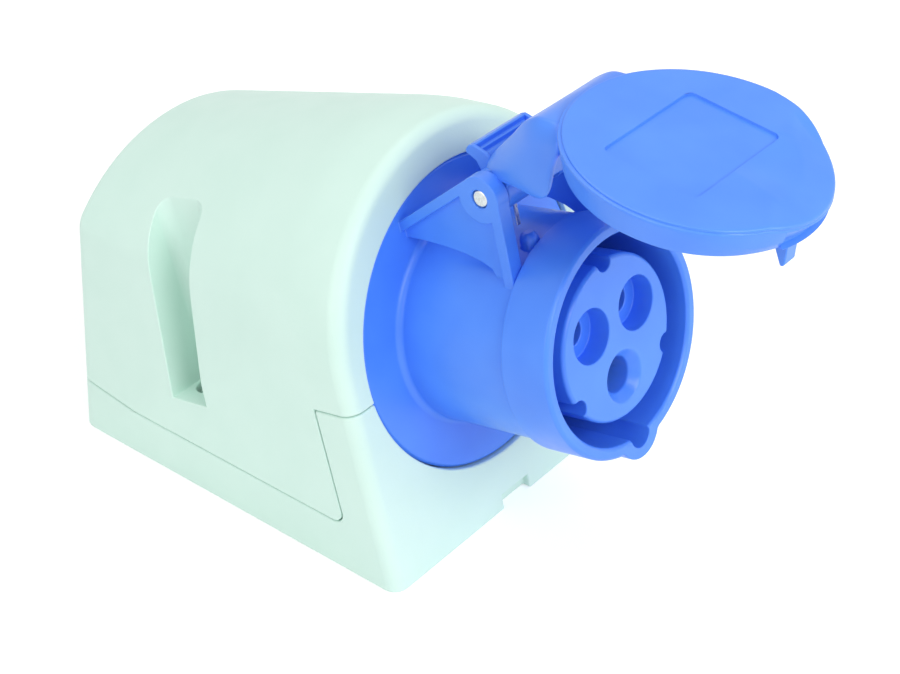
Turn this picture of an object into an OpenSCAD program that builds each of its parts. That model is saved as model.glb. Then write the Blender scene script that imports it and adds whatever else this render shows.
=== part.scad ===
// Industrial wall socket: 16 A, two poles and earth, surface mounted, with a hinged splash lid.
// Frame: the wall face is z = 0 with +Z out of the wall, the socket points towards -Y, X is across.
// The origin is the middle of the wall face. Lengths are in millimetres, angles in degrees.

/* [Housing] */
// Width of the housing across the wall
plate_w = 84; // [82:1:92]
// Length of the housing along the wall
plate_l = 103.4; // [98:0.2:112]
// Height of the base rim, where base and cover part
rim_h = 12.5; // [11:0.5:14]
// Wall thickness of base and cover
wall = 2.6; // [2.2:0.1:3]
// Thickness of the plate that lies on the wall
floor_t = 3; // [2.4:0.2:4]
// Rounding of the front edge of the housing
front_r = 3.4; // [2:0.2:4]
// Rounding of the edges round the back of the housing
back_r = 5; // [3:0.5:6]
// Height of the cover at the back
back_h = 70.6; // [66:0.2:74]
// Width across the shoulders of the cover at the back
back_w = 70.4; // [66:0.2:76]
// Radius of the roof at the back
roof_r = 44.8; // [40:0.2:56]
// Radius of the shoulders at the back
shoulder_r = 8.4; // [6:0.2:11]
// Lift of the front arch above the socket axis
arch_lift = 2.9; // [1:0.1:4]
// Further lift of the roof where it crowns behind the front edge
crown_lift = 1.1; // [0:0.1:2]
// Distance of the crown behind the front face
crown_back = 13.5; // [12:0.5:18]
// Half length over which the crown of the roof is rounded
crown_l = 7; // [4:0.5:8]
// Gap along the joint between base and cover
joint_gap = 0.3; // [0.2:0.05:0.5]
// Depth of the base's front wall, back to the cover's front leg
nose_depth = 11.1; // [10:0.1:14]
// Drop of the joint below the socket axis at the front
nose_drop = 4.45; // [3:0.05:6]
// Rounding of the cover's lower corner behind the base's front wall
rim_fillet = 3; // [1:0.5:4]
// Thickness of the front wall
front_t = 3.2; // [2.8:0.1:3.6]
// Width of the notch under the front edge
notch_w = 9.3; // [6:0.1:12]
// Height of the notch
notch_h = 3.5; // [2:0.1:4]
// Depth of the notch
notch_d = 2.2; // [1.5:0.1:2.4]

/* [Socket] */
// Tilt of the socket axis away from the wall
tilt = 12.3; // [8:0.1:16]
// Height of the socket axis up the front face
axis_h = 48.8; // [48:0.1:54]
// Reach of the collar in front of the housing
collar_reach = 39.6; // [36:0.1:44]
// Inner radius of the collar
collar_ir = 22.5; // [22.2:0.1:23]
// Wall thickness of the collar
collar_wall = 2.75; // [2.4:0.05:3.2]
// Length of the thick front band of the collar
band_l = 11.5; // [10:0.5:13]
// Step from the front band down to the neck
band_step = 1.2; // [0.8:0.1:1.4]
// Radius of the flange
flange_r = 35; // [34:0.1:36]
// Thickness of the flange
flange_t = 2.6; // [2.2:0.1:3.2]
// Recess of the flange behind the housing's front face
flange_recess = 0.8; // [0.4:0.1:1.2]
// Depth of the plug space behind the mouth
plug_depth = 40; // [38:0.5:42]
// Width of the keyway
key_w = 6.2; // [6.1:0.1:6.6]
// Radius of the keyway's round bottom
key_r = 25.4; // [25.3:0.1:25.6]
// Radius to the outside of the bulge round the keyway
bump_r = 27.8; // [27.4:0.1:28.4]
// Rounding of that bulge
bump_round = 6.6; // [6:0.1:7.2]
// Length of the keyway
key_l = 34; // [28:0.5:36]
// Fillet at the root of the neck
root_r = 1.6; // [1:0.1:2.4]
// Thickness of the flange gasket
gasket_t = 1; // [0.8:0.1:1.4]
// Thickness of the lip behind the gasket
lip_t = 2.4; // [2:0.1:3]
// Width of the lip
lip_w = 4.1; // [3.6:0.1:4.6]
// Thickness of the web at the floor of the plug space
web_t = 5; // [4.5:0.5:6]

/* [Contacts] */
// Radius of the contact carrier
carrier_r = 17.75; // [17.4:0.05:18]
// Setback of the carrier's face behind the mouth
carrier_set = 1.7; // [1:0.1:3]
// Radius of the circle on which the contacts sit
contact_pitch_r = 8.85; // [8.6:0.05:9.2]
// Radius of the line and neutral pins
line_pin_r = 2.5; // [2.4:0.05:2.6]
// Radius of the earth pin
earth_pin_r = 3.5; // [3.4:0.05:3.6]
// Running clearance of a pin in its sleeve
pin_clear = 0.05; // [0.03:0.01:0.1]
// Wall of a contact sleeve
sleeve_wall = 1.4; // [1.2:0.1:1.6]
// Setback of the contact sleeves behind the mouth
sleeve_back = 9.3; // [8:0.1:11]
// Depth of a sleeve's bore
pin_l = 34; // [30:0.5:35]
// Setback of the spring rings behind the mouth
ring_back = 12; // [11:0.5:16]
// Radius of the hollow round a line or neutral hole
line_mouth_r = 5.8; // [5:0.1:6]
// Depth of that hollow
line_mouth_d = 5; // [3:0.5:6]
// Thickness of the carrier's rear rim
carrier_rim_t = 3; // [2.5:0.5:4]
// Thickness of the retainer plate
retainer_t = 3; // [2.5:0.5:4]
// Radius of a retainer screw
retainer_screw_r = 1.25; // [1:0.05:1.4]
// Length of a terminal barrel
barrel_l = 11; // [10:0.5:13]
// Radius of a wire hole
wire_hole_r = 1.7; // [1.4:0.1:2]
// Radius of a terminal screw
terminal_screw_r = 1.5; // [1.25:0.05:1.75]

/* [Lid] */
// Opening angle of the lid
open_angle = 69; // [0:1:100]
// Radius of the lid's outer face
lid_r = 26.1; // [26:0.1:27]
// Height of the closed lid above the mouth
lid_h = 6.8; // [6.5:0.1:7.6]
// Thickness of the lid's top
lid_t = 2.4; // [2:0.1:2.8]
// Step round the lid's raised face
lid_step = 0.45; // [0.3:0.05:0.6]
// Width of that step
lid_edge = 0.7; // [0.5:0.1:1]
// Gap between the closed skirt and the mouth
skirt_gap = 0.35; // [0.3:0.05:0.6]
// Draft of the skirt from the lid's edge to its lower edge
skirt_draft = 0.9; // [0.5:0.1:1.2]
// Wall of the skirt
skirt_wall = 1.7; // [1.4:0.1:2]
// Gap between the closed lid's seal and the mouth
seal_gap = 0.4; // [0.3:0.05:0.8]
// Height of the hinge pin above the socket axis
pin_up = 36.6; // [36:0.1:38]
// Setback of the hinge pin behind the mouth
pin_back = 16.5; // [15.5:0.1:17.5]
// Radius of the hinge pin
pin_r = 2; // [1.8:0.1:2.2]
// Running clearance of the lid on the hinge pin
hinge_clear = 0.06; // [0.03:0.01:0.1]
// Clear width between the hinge ears
ear_gap = 25.6; // [25:0.2:26]
// Thickness of an ear
ear_t = 3.5; // [3.3:0.1:3.8]
// Radius of an ear's knuckle
knuckle_r = 4.8; // [4.6:0.1:5]
// Place of an ear's front edge behind the mouth, negative behind
ear_front_s = -11.9; // [-12.2:0.1:-11.8]
// Height of an ear's foot above the socket axis
ear_foot_u = 15.5; // [15:0.5:16]
// Height at which an ear's rib meets the flange
ear_back_u = 28; // [27:0.1:29]
// Height of an ear where it meets the flange
ear_back_h = 3.4; // [3:0.1:4.4]
// Front end of the arch under an ear
ear_arch_s = -17.4; // [-20:0.1:-16.5]
// Height of the arch's front end above the socket axis
ear_arch_u = 19; // [18.5:0.1:20]
// Width of an ear's upper rib
ear_rib = 2; // [1.6:0.1:2.6]
// Width of an ear's front rib
ear_post = 2.6; // [2:0.1:3]
// Depth of an ear's sunk panel
ear_sink = 1.4; // [1:0.1:1.6]
// Radius of the lid's knuckle
lid_knuckle_r = 4.6; // [4:0.1:5]
// Rounding of the edges of the hinge arm
cheek_r = 1.6; // [1.2:0.1:1.8]
// Place of the arm's cheeks on either side
cheek_x = 15.8; // [15.5:0.1:16.2]
// Back edge of the cheeks behind the mouth, negative behind
cheek_s = -9.5; // [-10:0.1:-9]
// Lower edge of the cheeks above the socket axis
cheek_u = 20.4; // [20.2:0.1:21]
// Place of the thumb tab behind the mouth, negative behind
thumb_s = -11.5; // [-12:0.1:-11]
// Height of the thumb tab above the socket axis
thumb_u = 46.7; // [46:0.1:48]
// Height of the thumb tab above the arm
thumb_h = 5; // [4.5:0.1:5.5]
// Thickness of the thumb tab
thumb_t = 2.9; // [2.6:0.1:3.4]
// Width of the thumb tab
thumb_w = 17.4; // [16:0.2:18]
// Half turn of the sloping lip on the lid's front
lip_turn = 42; // [36:1:46]
// Radius at which that lip begins to slope
lip_start_r = 24; // [23.4:0.1:24.4]
// Height of the lip's edge above the mouth
lip_s = 4; // [3.8:0.1:4.4]
// Rounding of the lip's edge
lip_bead = 0.9; // [0.7:0.05:1]
// Radius of the finger recesses under the lip
grip_r = 24.4; // [24.3:0.1:24.8]
// Half turn of the block between the finger recesses
grip_turn = 10; // [8:1:14]
// Width of the lid's tongue that enters the keyway
tongue_w = 4.6; // [4:0.1:4.7]
// Outer place of the tongue below the socket axis
tongue_r = 23.7; // [23.4:0.1:23.8]
// Thickness of the tongue
tongue_t = 1.9; // [1.6:0.1:2.2]
// Taper of the tongue from its root to its tip
tongue_taper = 0.85; // [0.75:0.05:1]
// Length of the tongue below the lid's outer face
tongue_l = 14; // [12:0.1:15]
// Width of the bare label field
label_w = 28.4; // [24:0.1:30]
// Length of the bare label field
label_l = 20.6; // [18:0.1:22]
// Offset of the label field towards the hinge
label_u = 1.8; // [0:0.1:2]
// Rounding of its corners
label_r = 1.5; // [1:0.1:2.5]
// Depth of the label field
label_d = 0.5; // [0.3:0.1:0.8]
// Width of the lid's seal
seal_w = 3.2; // [2.4:0.1:4.4]
// Length of the spring's leg towards the socket
leg_l = 11.6; // [9:0.1:11.6]
// Length of the spring's hook in the lid
hook_l = 3.6; // [3:0.1:3.6]
// Radius of the spring wire
wire_r = 0.45; // [0.35:0.05:0.5]

/* [Fixings] */
// Spacing of the wall holes across the housing
fix_x = 62; // [58:1:64]
// Spacing of the wall holes along the housing
fix_y = 74; // [70:1:76]
// Radius of a wall hole
fix_r = 2.6; // [2.2:0.1:3]
// Spacing of the cover screws across the housing
screw_x = 66.8; // [65:0.2:67.4]
// Setback of the cover screws behind the mouth
screw_back = 94.5; // [90:0.5:98]
// Radius of the cover screw's thread
screw_r = 2; // [1.75:0.25:2.25]
// Reach of a cover screw's pocket in front of the screw
pocket_front = 6.8; // [6:0.1:7.4]
// Reach of the pocket behind the screw
pocket_back = 4.8; // [4.6:0.1:5.6]
// Reach of the pocket inside the screw
pocket_in = 5.1; // [4.7:0.1:6]
// Rounding of the pocket's inner corners
pocket_round = 3; // [1.5:0.1:3.4]
// Widening of the pocket from its floor to the roof
pocket_flare = 1.4; // [1.1:0.05:1.5]
// Drop of the pocket floor below the socket axis
pocket_drop = 11.5; // [9:0.5:14]
// Radius of the cable entry in the back wall
entry_r = 10.25; // [8:0.25:12]
// Height of the cable entry above the wall
entry_h = 27; // [25:0.5:32]
// Radius of the cable hole in the grommet
cable_r = 4.6; // [4:0.1:6]
// Overlap of the grommet's rims over the back wall
grommet_lap = 2.6; // [2:0.1:3.2]
// Thickness of the grommet's outer rim
grommet_t = 1.6; // [1.2:0.1:2.2]
// Thickness of the grommet's inner rim
grommet_back_t = 2.1; // [1.6:0.1:2.6]
// Length of the grommet's sleeve inside the housing
grommet_l = 9; // [7:0.5:12]
// Wall of the sleeve at its inner end
grommet_wall = 1.6; // [1.2:0.1:2]
// Radius of a screw boss in the base
boss_r = 3.8; // [3.2:0.1:4]
// Thickness of a pocket's floor
pocket_floor = 6.4; // [6.2:0.1:7]
// Depth of the hole in which a screw's head is sunk
sink_d = 3.9; // [3.6:0.1:4.2]
// Radius of that hole
sink_r = 4.2; // [4.1:0.1:4.5]
// Length of a cover screw under its head
screw_l = 13; // [11:0.5:14]
// Thickness of a screw's washer
washer_t = 0.8; // [0.6:0.1:1.2]

/* [Hidden] */
$fn = 64;
eps = 0.01;
far = 400;
grey = [0.86, 0.94, 0.90];
blue = [0.27, 0.47, 0.95];
black = [0.12, 0.12, 0.13];
brass = [0.80, 0.66, 0.30];
steel = [0.80, 0.82, 0.80];

half_w = plate_w / 2;
half_l = plate_l / 2;
// Middle of the mouth
mouth_y = -half_l + axis_h * sin(tilt) - collar_reach * cos(tilt);
mouth_z = axis_h * cos(tilt) + collar_reach * sin(tilt);
flange_s = -collar_reach - flange_recess;
collar_or = collar_ir + collar_wall;
neck_r = collar_or - band_step;
front_s = -collar_reach;
crown_s = front_s - crown_back;
nose_s = front_s - nose_depth;
tab_side = 5.75;
tab_half = entry_r + tab_side;
tab_top = entry_h + entry_r;
corner_step = 15;
// Seat of the flange: counterbore, gasket and a lip that sits in the groove behind the flange
edge_clear = 0.25;
seat_s = flange_s - flange_t - gasket_t;
lip_r = flange_r - lip_w;
seat_r = flange_r + 3.4;
groove_clear = 0.2;
spool_r = lip_r - groove_clear;
spool_s = seat_s - lip_t - groove_clear;
spool_t = 2;
spool_rim_r = flange_r - 1.6;
// Inside of the socket, from the floor of the plug space to the terminals
seat_clear = 0.15;
edge_cut = 0.6;
web_s = -plug_depth;
rim_s = web_s - web_t;
retainer_s = rim_s - carrier_rim_t;
tail_s = retainer_s - retainer_t;
carrier_rim_r = collar_ir - 0.3;
retainer_head_r = retainer_screw_r * 1.6;
line_or = line_pin_r + pin_clear + sleeve_wall;
earth_or = earth_pin_r + pin_clear + sleeve_wall;
line_turn = 30;
earth_turn = 270;
contact_collar = 1.2;
entry_clear = 0.4;
funnel_d = 2.1;
flute_r = 2.2;
flute_l = 26;
head_t = 1.5;
slot_w = 0.7;
retainer_grip = 3.5;
contact_collar_t = 2;
barrel_s = tail_s - barrel_l;
ring_t = 0.5;
ring_w = 3;
slit_w = 0.8;
slit_l = 14;
thread_clear = 0.05;
rubber_clear = 0.1;
retainer_screw_x = carrier_rim_r - retainer_head_r - seat_clear;
// Hinge and lid
ear_in = ear_gap / 2;
ear_out = ear_in + ear_t;
ear_back_s = flange_s - 1;
knuckle_rim = 0.5;
shell_bite = 0.5;
ear_edge_r = knuckle_r - 0.05;
ear_run = [pin_back + ear_back_s, pin_up - ear_back_u];
ear_lean = atan2(ear_run[1], -ear_run[0]) + asin(ear_edge_r / norm(ear_run));
side_clear = 0.4;
pin_sink = 0.3;
pin_cut = 0.4;
lid_arm = ear_in - side_clear;
skirt_or = lid_r - skirt_draft;
skirt_ir = skirt_or - skirt_wall;
seal_ir = skirt_ir - rubber_clear - seal_w;
lid_under = lid_h - lid_t;
lid_rim = lid_h - lid_step;
collar_clear = 0.5;
arm_clear_r = collar_or + collar_clear;
thumb_half = thumb_w / 2;
groove_r = 0.45;
spring_slot = 4.2;
stop_r = 2;
stop_x = spring_slot + stop_r + 0.8;
stop_s = 2.5 - pin_back;
// Rounded corners of the cheeks beside the collar in (s, u), from the ear round to the skirt
cheek_points = [
    [cheek_s + cheek_r, cheek_u + 9], [cheek_s + cheek_r + 0.1, cheek_u + 4.6],
    [cheek_s + cheek_r + 1.1, cheek_u + 2.4], [cheek_s + cheek_r + 3.4, cheek_u + cheek_r],
    [lid_rim - cheek_r, cheek_u + cheek_r]];
coil_r = pin_r + 1;
// Cover screws
screw_half = screw_x / 2;
head_h = 2.6;
head_r = 3.7;
head_round = 1.6;
cross_w = 0.9;
cross_l = 4.2;
hole_clear = 0.3;
roof_far = 50;
boss_u = -pocket_drop - pocket_floor - joint_gap;
// Raised pads round the wall holes
pad_w = 3;
pad_h = 1.5;

function wall_u(s) = -(mouth_z + s * sin(tilt)) / cos(tilt);
function side_point(s, u) =
    [mouth_y - s * cos(tilt) + u * sin(tilt), mouth_z + s * sin(tilt) + u * cos(tilt)];
function arc_points(cx, cy, r, a0, a1, n) =
    [for (i = [0:n]) let (a = a0 + (a1 - a0) * i / n) [cx + r * cos(a), cy + r * sin(a)]];
function arch_points(half, lift, bottom) =
    concat([[half, bottom]], arc_points(0, lift, half, 0, 180, 40), [[-half, bottom]]);
shoulder_x = back_w / 2 - shoulder_r;
shoulder_rise = sqrt(pow(roof_r - shoulder_r, 2) - pow(shoulder_x, 2));
roof_z = back_h - roof_r;
roof_angle = atan2(shoulder_rise, shoulder_x);
function back_points(inset, bottom) = concat(
    [[half_w - inset, bottom]],
    arc_points(shoulder_x, roof_z + shoulder_rise, shoulder_r - inset, 0, roof_angle, 6),
    arc_points(0, roof_z, roof_r - inset, roof_angle, 180 - roof_angle, 24),
    arc_points(-shoulder_x, roof_z + shoulder_rise, shoulder_r - inset, 180 - roof_angle, 180, 6),
    [[inset - half_w, bottom]]);

// The roof rises from the front edge to the crown and falls from there to the back
roof_y = half_l - back_r - mouth_y;
roof_u = (back_h - mouth_z) * cos(tilt) + roof_y * sin(tilt);
roof_s = (back_h - mouth_z) * sin(tilt) - roof_y * cos(tilt);
roof_rise = crown_lift / (crown_back - front_r);
roof_fall = (half_w + arch_lift + crown_lift - roof_u) / (crown_s - roof_s);
function crown_rise(t) = arch_lift + crown_lift
    - crown_l / 4 * (roof_rise * pow(1 + t, 2) + roof_fall * pow(1 - t, 2));

// Socket frame: local z runs out of the mouth, local y is up from the socket axis
module socket_frame() translate([0, mouth_y, mouth_z]) rotate([90 - tilt, 0, 0]) children();

// Lid frame: the socket frame turned about the hinge pin by the opening angle
module lid_frame() socket_frame()
    translate([0, pin_up, -pin_back]) rotate([-open_angle, 0, 0]) translate([0, -pin_up, pin_back])
        children();

// Round rods along each local axis, between two places
module x_rod(r, x0, x1) translate([x0, 0, 0]) rotate([0, 90, 0]) cylinder(r = r, h = x1 - x0);
module y_rod(r, y0, y1) translate([0, y0, 0]) rotate([-90, 0, 0]) cylinder(r = r, h = y1 - y0);
module z_rod(r, z0, z1) translate([0, 0, z0]) cylinder(r = r, h = z1 - z0);

// A side outline drawn in (s, u), pulled across from x0 to x1
module side_plate(x0, x1) translate([x1, 0, 0]) rotate([0, -90, 0]) linear_extrude(x1 - x0) children();

// Thin slices of the housing, across the socket axis and in the back wall
module arch_slice(s, half, lift, bottom)
    translate([0, 0, s]) linear_extrude(eps) polygon(arch_points(half, lift, bottom));
module back_slice(y, inset, bottom)
    translate([0, y, 0]) rotate([90, 0, 0]) linear_extrude(eps) polygon(back_points(inset, bottom));

// Outside of base and cover together
module housing_solid() hull() {
    socket_frame() for (f = [0:corner_step:90]) let (s = front_s - front_r * (1 - cos(f)) - eps)
        arch_slice(s, half_w - front_r * (1 - sin(f)), arch_lift, wall_u(s));
    socket_frame() for (t = [-1:0.5:1]) arch_slice(crown_s + crown_l * t, half_w, crown_rise(t), 0);
    for (f = [0:corner_step:90]) back_slice(half_l - back_r * (1 - cos(f)), back_r * (1 - sin(f)), 0);
}

// Inside of base and cover together
module housing_cavity() let (s = front_s - front_t, r = back_r - wall) hull() {
    socket_frame() arch_slice(s, half_w - wall, arch_lift, wall_u(s) + floor_t / cos(tilt));
    socket_frame() arch_slice(crown_s, half_w - wall, crown_rise(0), 0);
    for (f = [0:45:90]) back_slice(half_l - wall - r * (1 - cos(f)), wall + r * (1 - sin(f)), floor_t);
}

// The part of the housing that belongs to the base, seen from the side
module base_profile() offset(r = -rim_fillet) offset(delta = rim_fillet) polygon([
    [far, -far], [far, rim_h],
    [side_point(nose_s, (rim_h - mouth_z - nose_s * sin(tilt)) / cos(tilt))[0], rim_h],
    side_point(nose_s, -nose_drop), side_point(far, -nose_drop), [-far, -far]]);

module base_zone(gap) {
    translate([-half_w - 1, 0, 0]) rotate([90, 0, 90]) linear_extrude(plate_w + 2)
        offset(delta = gap) base_profile();
    translate([-tab_half - gap, half_l - back_r, 0])
        cube([2 * (tab_half + gap), back_r + 1, tab_top + gap]);
}

// Ring in the front wall that holds the flange, and the stepped hole through it
module flange_ring() socket_frame() z_rod(seat_r, seat_s - lip_t, front_s - front_t + 0.5);
module flange_cut() socket_frame() {
    z_rod(flange_r + edge_clear, seat_s, 1);
    z_rod(lip_r, seat_s - lip_t - 1, 1);
}

// Upright outline of the cable entry, round below and square above, cut or filled from y0 to y1
module entry_block(r, y0, y1) translate([0, half_l + y1, entry_h]) rotate([90, 0, 0])
    linear_extrude(y1 - y0) {
        circle(r = r);
        translate([-r, 0]) square([2 * r, r]);
    }

module at_wall_holes() for (x = [-1, 1], y = [-1, 1])
    translate([x * fix_x / 2, y * fix_y / 2, 0]) children();

// Both cover screws, with local y along the screw and local x outwards
module at_screws() socket_frame() for (side = [0, 1]) mirror([side, 0, 0])
    translate([screw_half, 0, -screw_back]) children();

// A pocket round a cover screw, open to the side of the housing and wider towards the roof
module pocket(grow, floor) translate([0, floor, 0]) rotate([-90, 0, 0])
    linear_extrude(roof_far, scale = [1, pocket_flare], slices = 1, $fn = 24) offset(r = grow)
        offset(r = pocket_round) offset(delta = -pocket_round)
            translate([-pocket_in, -pocket_front]) square([roof_far, pocket_front + pocket_back]);

module wall_base() color(grey) difference() {
    union() {
        difference() {
            intersection() {
                housing_solid();
                base_zone(0);
            }
            housing_cavity();
        }
        intersection() {
            housing_solid();
            base_zone(0);
            flange_ring();
        }
        intersection() {
            housing_solid();
            at_screws() y_rod(boss_r, -far / 4, boss_u);
        }
        at_wall_holes() cylinder(r = fix_r + pad_w, h = floor_t + pad_h);
    }
    translate([-far / 2, -far / 2, -far]) cube([far, far, far]);
    at_wall_holes() z_rod(fix_r, -1, floor_t + pad_h + 1);
    at_screws() y_rod(screw_r + thread_clear, boss_u - screw_l, boss_u + 1);
    flange_cut();
    entry_block(entry_r, -back_r - 1, 1);
    translate([-notch_w / 2, -half_l - 1, -1]) cube([notch_w, notch_d + 1, notch_h + 1]);
}

module cover() color(grey) difference() {
    union() {
        difference() {
            housing_solid();
            base_zone(joint_gap);
            housing_cavity();
        }
        difference() {
            intersection() {
                housing_solid();
                union() {
                    flange_ring();
                    at_screws() pocket(wall, -pocket_drop - pocket_floor);
                }
            }
            base_zone(joint_gap);
        }
    }
    at_screws() {
        pocket(0, -pocket_drop);
        y_rod(screw_r + hole_clear, -pocket_drop - pocket_floor - 1, 0);
        y_rod(sink_r, -pocket_drop - sink_d, 0);
    }
    flange_cut();
}

// Pan head screw along local y, with a cross recess
module cover_screw() let (seat = -pocket_drop - sink_d + washer_t) difference() {
    union() {
        y_rod(screw_r, seat - screw_l, seat + head_h / 2);
        translate([0, seat, 0]) rotate([-90, 0, 0]) rotate_extrude() polygon(concat(
            [[0, 0], [head_r, 0]],
            arc_points(head_r - head_round, head_h - head_round, head_round, 0, 90, 8), [[0, head_h]]));
    }
    for (turn = [0, 90]) translate([0, seat + head_h, 0]) rotate([0, turn, 0])
        cube([cross_w, head_h, cross_l], center = true);
}

module cover_screws() color(steel) at_screws() cover_screw();

module screw_washers() color(steel) at_screws() difference() {
    y_rod(sink_r - hole_clear / 2, -pocket_drop - sink_d, -pocket_drop - sink_d + washer_t);
    y_rod(screw_r + hole_clear / 2, -far / 4, 0);
}

// Rubber grommet that slides into the base's tab, with a funnel and a tapered sleeve for the cable
module cable_grommet() color(black) difference() {
    union() {
        entry_block(entry_r - rubber_clear, -wall - grommet_back_t / 2, grommet_t / 2);
        entry_block(entry_r + grommet_lap, -wall - rubber_clear - grommet_back_t, -wall - rubber_clear);
        entry_block(entry_r + grommet_lap, rubber_clear, rubber_clear + grommet_t);
        translate([0, half_l, entry_h]) rotate([90, 0, 0])
            cylinder(r1 = entry_r - grommet_wall, r2 = cable_r + grommet_wall, h = wall + grommet_l);
    }
    translate([0, half_l, entry_h]) y_rod(cable_r, -wall - grommet_l - 1, far / 4);
    translate([0, half_l + rubber_clear + grommet_t + eps, entry_h]) rotate([90, 0, 0])
        cylinder(r1 = entry_r - grommet_wall, r2 = cable_r, h = wall + grommet_l / 2);
}

// Half outline of the collar, neck, flange and rear sleeve, turned about the socket axis
module shell_profile() polygon(concat(
    [[collar_ir, web_s], [collar_ir, -edge_cut], [collar_ir + edge_cut, 0]],
    [[collar_or - edge_cut, 0], [collar_or, -edge_cut]],
    [[collar_or, -band_l], [neck_r, -band_l - band_step / 2]],
    arc_points(neck_r + root_r, flange_s + root_r, root_r, 180, 270, 6),
    [[flange_r - edge_cut, flange_s], [flange_r, flange_s - edge_cut], [flange_r, flange_s - flange_t]],
    [[spool_r, flange_s - flange_t], [spool_r, spool_s], [spool_rim_r, spool_s]],
    [[spool_rim_r, spool_s - spool_t], [collar_or, spool_s - spool_t], [collar_or, tail_s]],
    [[collar_ir, tail_s], [collar_ir, rim_s], [carrier_r + seat_clear, rim_s]],
    [[carrier_r + seat_clear, web_s]]));

// Ear outline in (s, u): a post on the collar, a round knuckle and a web back to the flange, with an
// arch under it
module ear_outline() {
    polygon(concat(
        [[ear_front_s, ear_foot_u], [ear_front_s, pin_up], [-pin_back, pin_up],
         [-pin_back - ear_edge_r * sin(ear_lean), pin_up + ear_edge_r * cos(ear_lean)],
         [ear_back_s, ear_back_u]],
        [for (a = [90:-15:0]) [
            ear_back_s + (ear_arch_s - ear_back_s) * cos(a),
            ear_arch_u + (ear_back_u - ear_back_h - ear_arch_u) * sin(a)]],
        [[ear_arch_s, ear_foot_u]]));
    translate([-pin_back, pin_up]) circle(r = knuckle_r);
}

// Sunk panel of an ear, inside its upper and front ribs and clear of the knuckle
module ear_panel() difference() {
    ear_outline();
    translate([ear_back_s, ear_back_u]) rotate(ear_lean) translate([-far, -ear_rib]) square([2 * far, far]);
    translate([ear_front_s - ear_post, -far]) square(2 * far);
    translate([-pin_back, pin_up]) circle(r = knuckle_r + knuckle_rim);
}

module hinge_ear() difference() {
    side_plate(ear_in, ear_out) ear_outline();
    side_plate(ear_out - ear_sink, ear_out + 1) offset(delta = eps) ear_panel();
    z_rod(collar_ir + shell_bite, flange_s - 2, 1);
}

// Round bulge under the collar and the keyway in it
module key_bump() translate([0, bump_round - bump_r, 0]) z_rod(bump_round, flange_s - 1, 0);
module keyway() translate([0, key_w / 2 - key_r, 0]) z_rod(key_w / 2, -key_l, 1);

module at_retainer_screws() for (turn = [0, 180]) rotate([0, 0, turn])
    translate([retainer_screw_x, 0, 0]) children();

// Round stop on the neck beside the spring's leg
module spring_stop() translate([-stop_x, 0, stop_s]) rotate([-90, 0, 0]) rotate_extrude() polygon(concat(
    [[0, collar_ir - stop_r / 2], [stop_r, collar_ir - stop_r / 2]],
    arc_points(0, neck_r, stop_r, 0, 60, 6), [[0, neck_r + stop_r * sin(60)]]));

module socket_shell() color(blue) socket_frame() difference() {
    union() {
        rotate_extrude() shell_profile();
        difference() {
            union() {
                key_bump();
                spring_stop();
            }
            z_rod(collar_ir + shell_bite, flange_s - 2, 1);
        }
        for (side = [0, 1]) mirror([side, 0, 0]) hinge_ear();
    }
    keyway();
    translate([0, pin_up, -pin_back]) x_rod(pin_r, -ear_out - 1, ear_out + 1);
    at_retainer_screws()
        z_rod(retainer_screw_r + thread_clear, rim_s - 1, rim_s + retainer_grip + thread_clear);
}

module flange_gasket() color(black) socket_frame() difference() {
    z_rod(flange_r, seat_s, seat_s + gasket_t);
    z_rod(lip_r, seat_s - 1, seat_s + gasket_t + 1);
}

// A contact's place round the socket axis
module at_contact(turn) rotate([0, 0, turn]) translate([contact_pitch_r, 0, 0]) children();

// Stepped hole for a contact: mouth, entry, seat of the sleeve and seat of its collar
module contact_hole(mouth_r, mouth_d, entry, sleeve_r) {
    z_rod(mouth_r, -carrier_set - mouth_d, 1);
    z_rod(entry, -sleeve_back - 1, 1);
    z_rod(sleeve_r + seat_clear, retainer_s - 1, -sleeve_back + 0.2);
    z_rod(sleeve_r + contact_collar + seat_clear, retainer_s - 1, retainer_s + contact_collar_t);
}

module contact_carrier() color(blue) socket_frame() difference() {
    rotate_extrude() polygon([
        [0, -carrier_set], [carrier_r - edge_cut, -carrier_set], [carrier_r, -carrier_set - edge_cut],
        [carrier_r, rim_s], [carrier_rim_r, rim_s], [carrier_rim_r, retainer_s], [0, retainer_s]]);
    for (turn = [line_turn, 180 - line_turn])
        at_contact(turn) contact_hole(line_mouth_r, line_mouth_d, line_pin_r + entry_clear, line_or);
    at_contact(earth_turn) {
        contact_hole(earth_pin_r + entry_clear, 0, earth_pin_r + entry_clear, earth_or);
        translate([0, 0, -carrier_set - funnel_d])
            cylinder(r1 = earth_pin_r + entry_clear, r2 = line_mouth_r, h = funnel_d + eps);
    }
    for (turn = [90, 210, 330]) rotate([0, 0, turn]) translate([carrier_r - 0.1, 0, 0])
        z_rod(flute_r, -carrier_set - flute_l, 1);
    at_retainer_screws() z_rod(retainer_screw_r + seat_clear, retainer_s - 1, rim_s + 1);
}

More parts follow.
